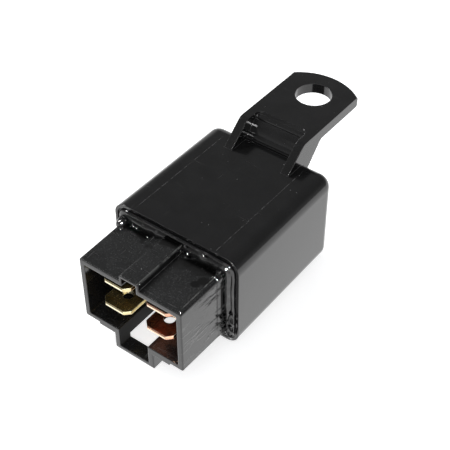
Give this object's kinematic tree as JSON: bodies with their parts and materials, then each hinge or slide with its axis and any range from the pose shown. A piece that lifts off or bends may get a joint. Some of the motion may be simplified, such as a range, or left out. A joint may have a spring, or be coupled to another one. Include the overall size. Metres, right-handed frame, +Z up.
{
  "type": "relay",
  "caption": "Plug-in relay in a box-shaped case with a moulded fixing lug, a shrouded blade connector with keyway and latch staple, and a hinged armature inside.",
  "frame": {"origin": "centre of the bracket's hole, on the underside of its lug", "axes": "+Z up through the hole, out of the lug's top; +Y from the connector's mouth towards the bracket; X across the case"},
  "size_m": [0.0284, 0.0642, 0.0263],
  "materials": {
    "case_plastic": "satin black moulded plastic with faint scuffs",
    "base_plastic": "black moulded plastic, fine matt grain on top, glossier sides",
    "potting": "glossy black potting resin",
    "brass_blade": "stamped brass, bright cut edges",
    "copper_blade": "stamped copper, bright cut edges",
    "soft_iron": "zinc-plated soft iron",
    "armature_iron": "zinc-plated soft iron",
    "bobbin_plastic": "natural moulded plastic",
    "winding_wire": "enamelled copper wire",
    "spring_copper": "rolled copper alloy strip",
    "rivet_brass": "headed brass",
    "contact_silver": "silver alloy, satin",
    "braid_copper": "woven fine copper wire",
    "resistor_body": "lacquered body",
    "tinned_wire": "tinned copper wire"
  },
  "bodies": {
    "housing": {"case": "case_plastic", "base": "base_plastic", "potting_seal": "potting", "coil_terminal_upper": "brass_blade", "coil_terminal_lower": "brass_blade", "fixed_contact_terminal": "copper_blade", "common_terminal": "copper_blade", "yoke": "soft_iron", "core": "soft_iron", "bobbin": "bobbin_plastic", "coil_winding": "winding_wire", "yoke_rivets": "rivet_brass", "fixed_contact": "contact_silver", "return_spring": "spring_copper", "braid": "braid_copper", "resistor": "resistor_body", "resistor_lead_upper": "tinned_wire", "resistor_lead_lower": "tinned_wire", "coil_lead_upper": "winding_wire", "coil_lead_lower": "winding_wire"},
    "armature": {"armature": "armature_iron", "contact_arm": "spring_copper", "contact_arm_rivets": "rivet_brass", "spring_rivets": "rivet_brass", "moving_contact": "contact_silver"}
  },
  "joints": [
    {"name": "armature_pivot", "type": "hinge", "parent": "housing", "child": "armature", "pos_m": [-0.0121, -0.0192, -0.01214], "axis": [0, 0, -1], "range_deg": [0, 3], "stiffness_Nm_per_rad": 0.005, "springref_deg": -11.46, "deforming": ["return_spring", "braid"]}
  ]
}
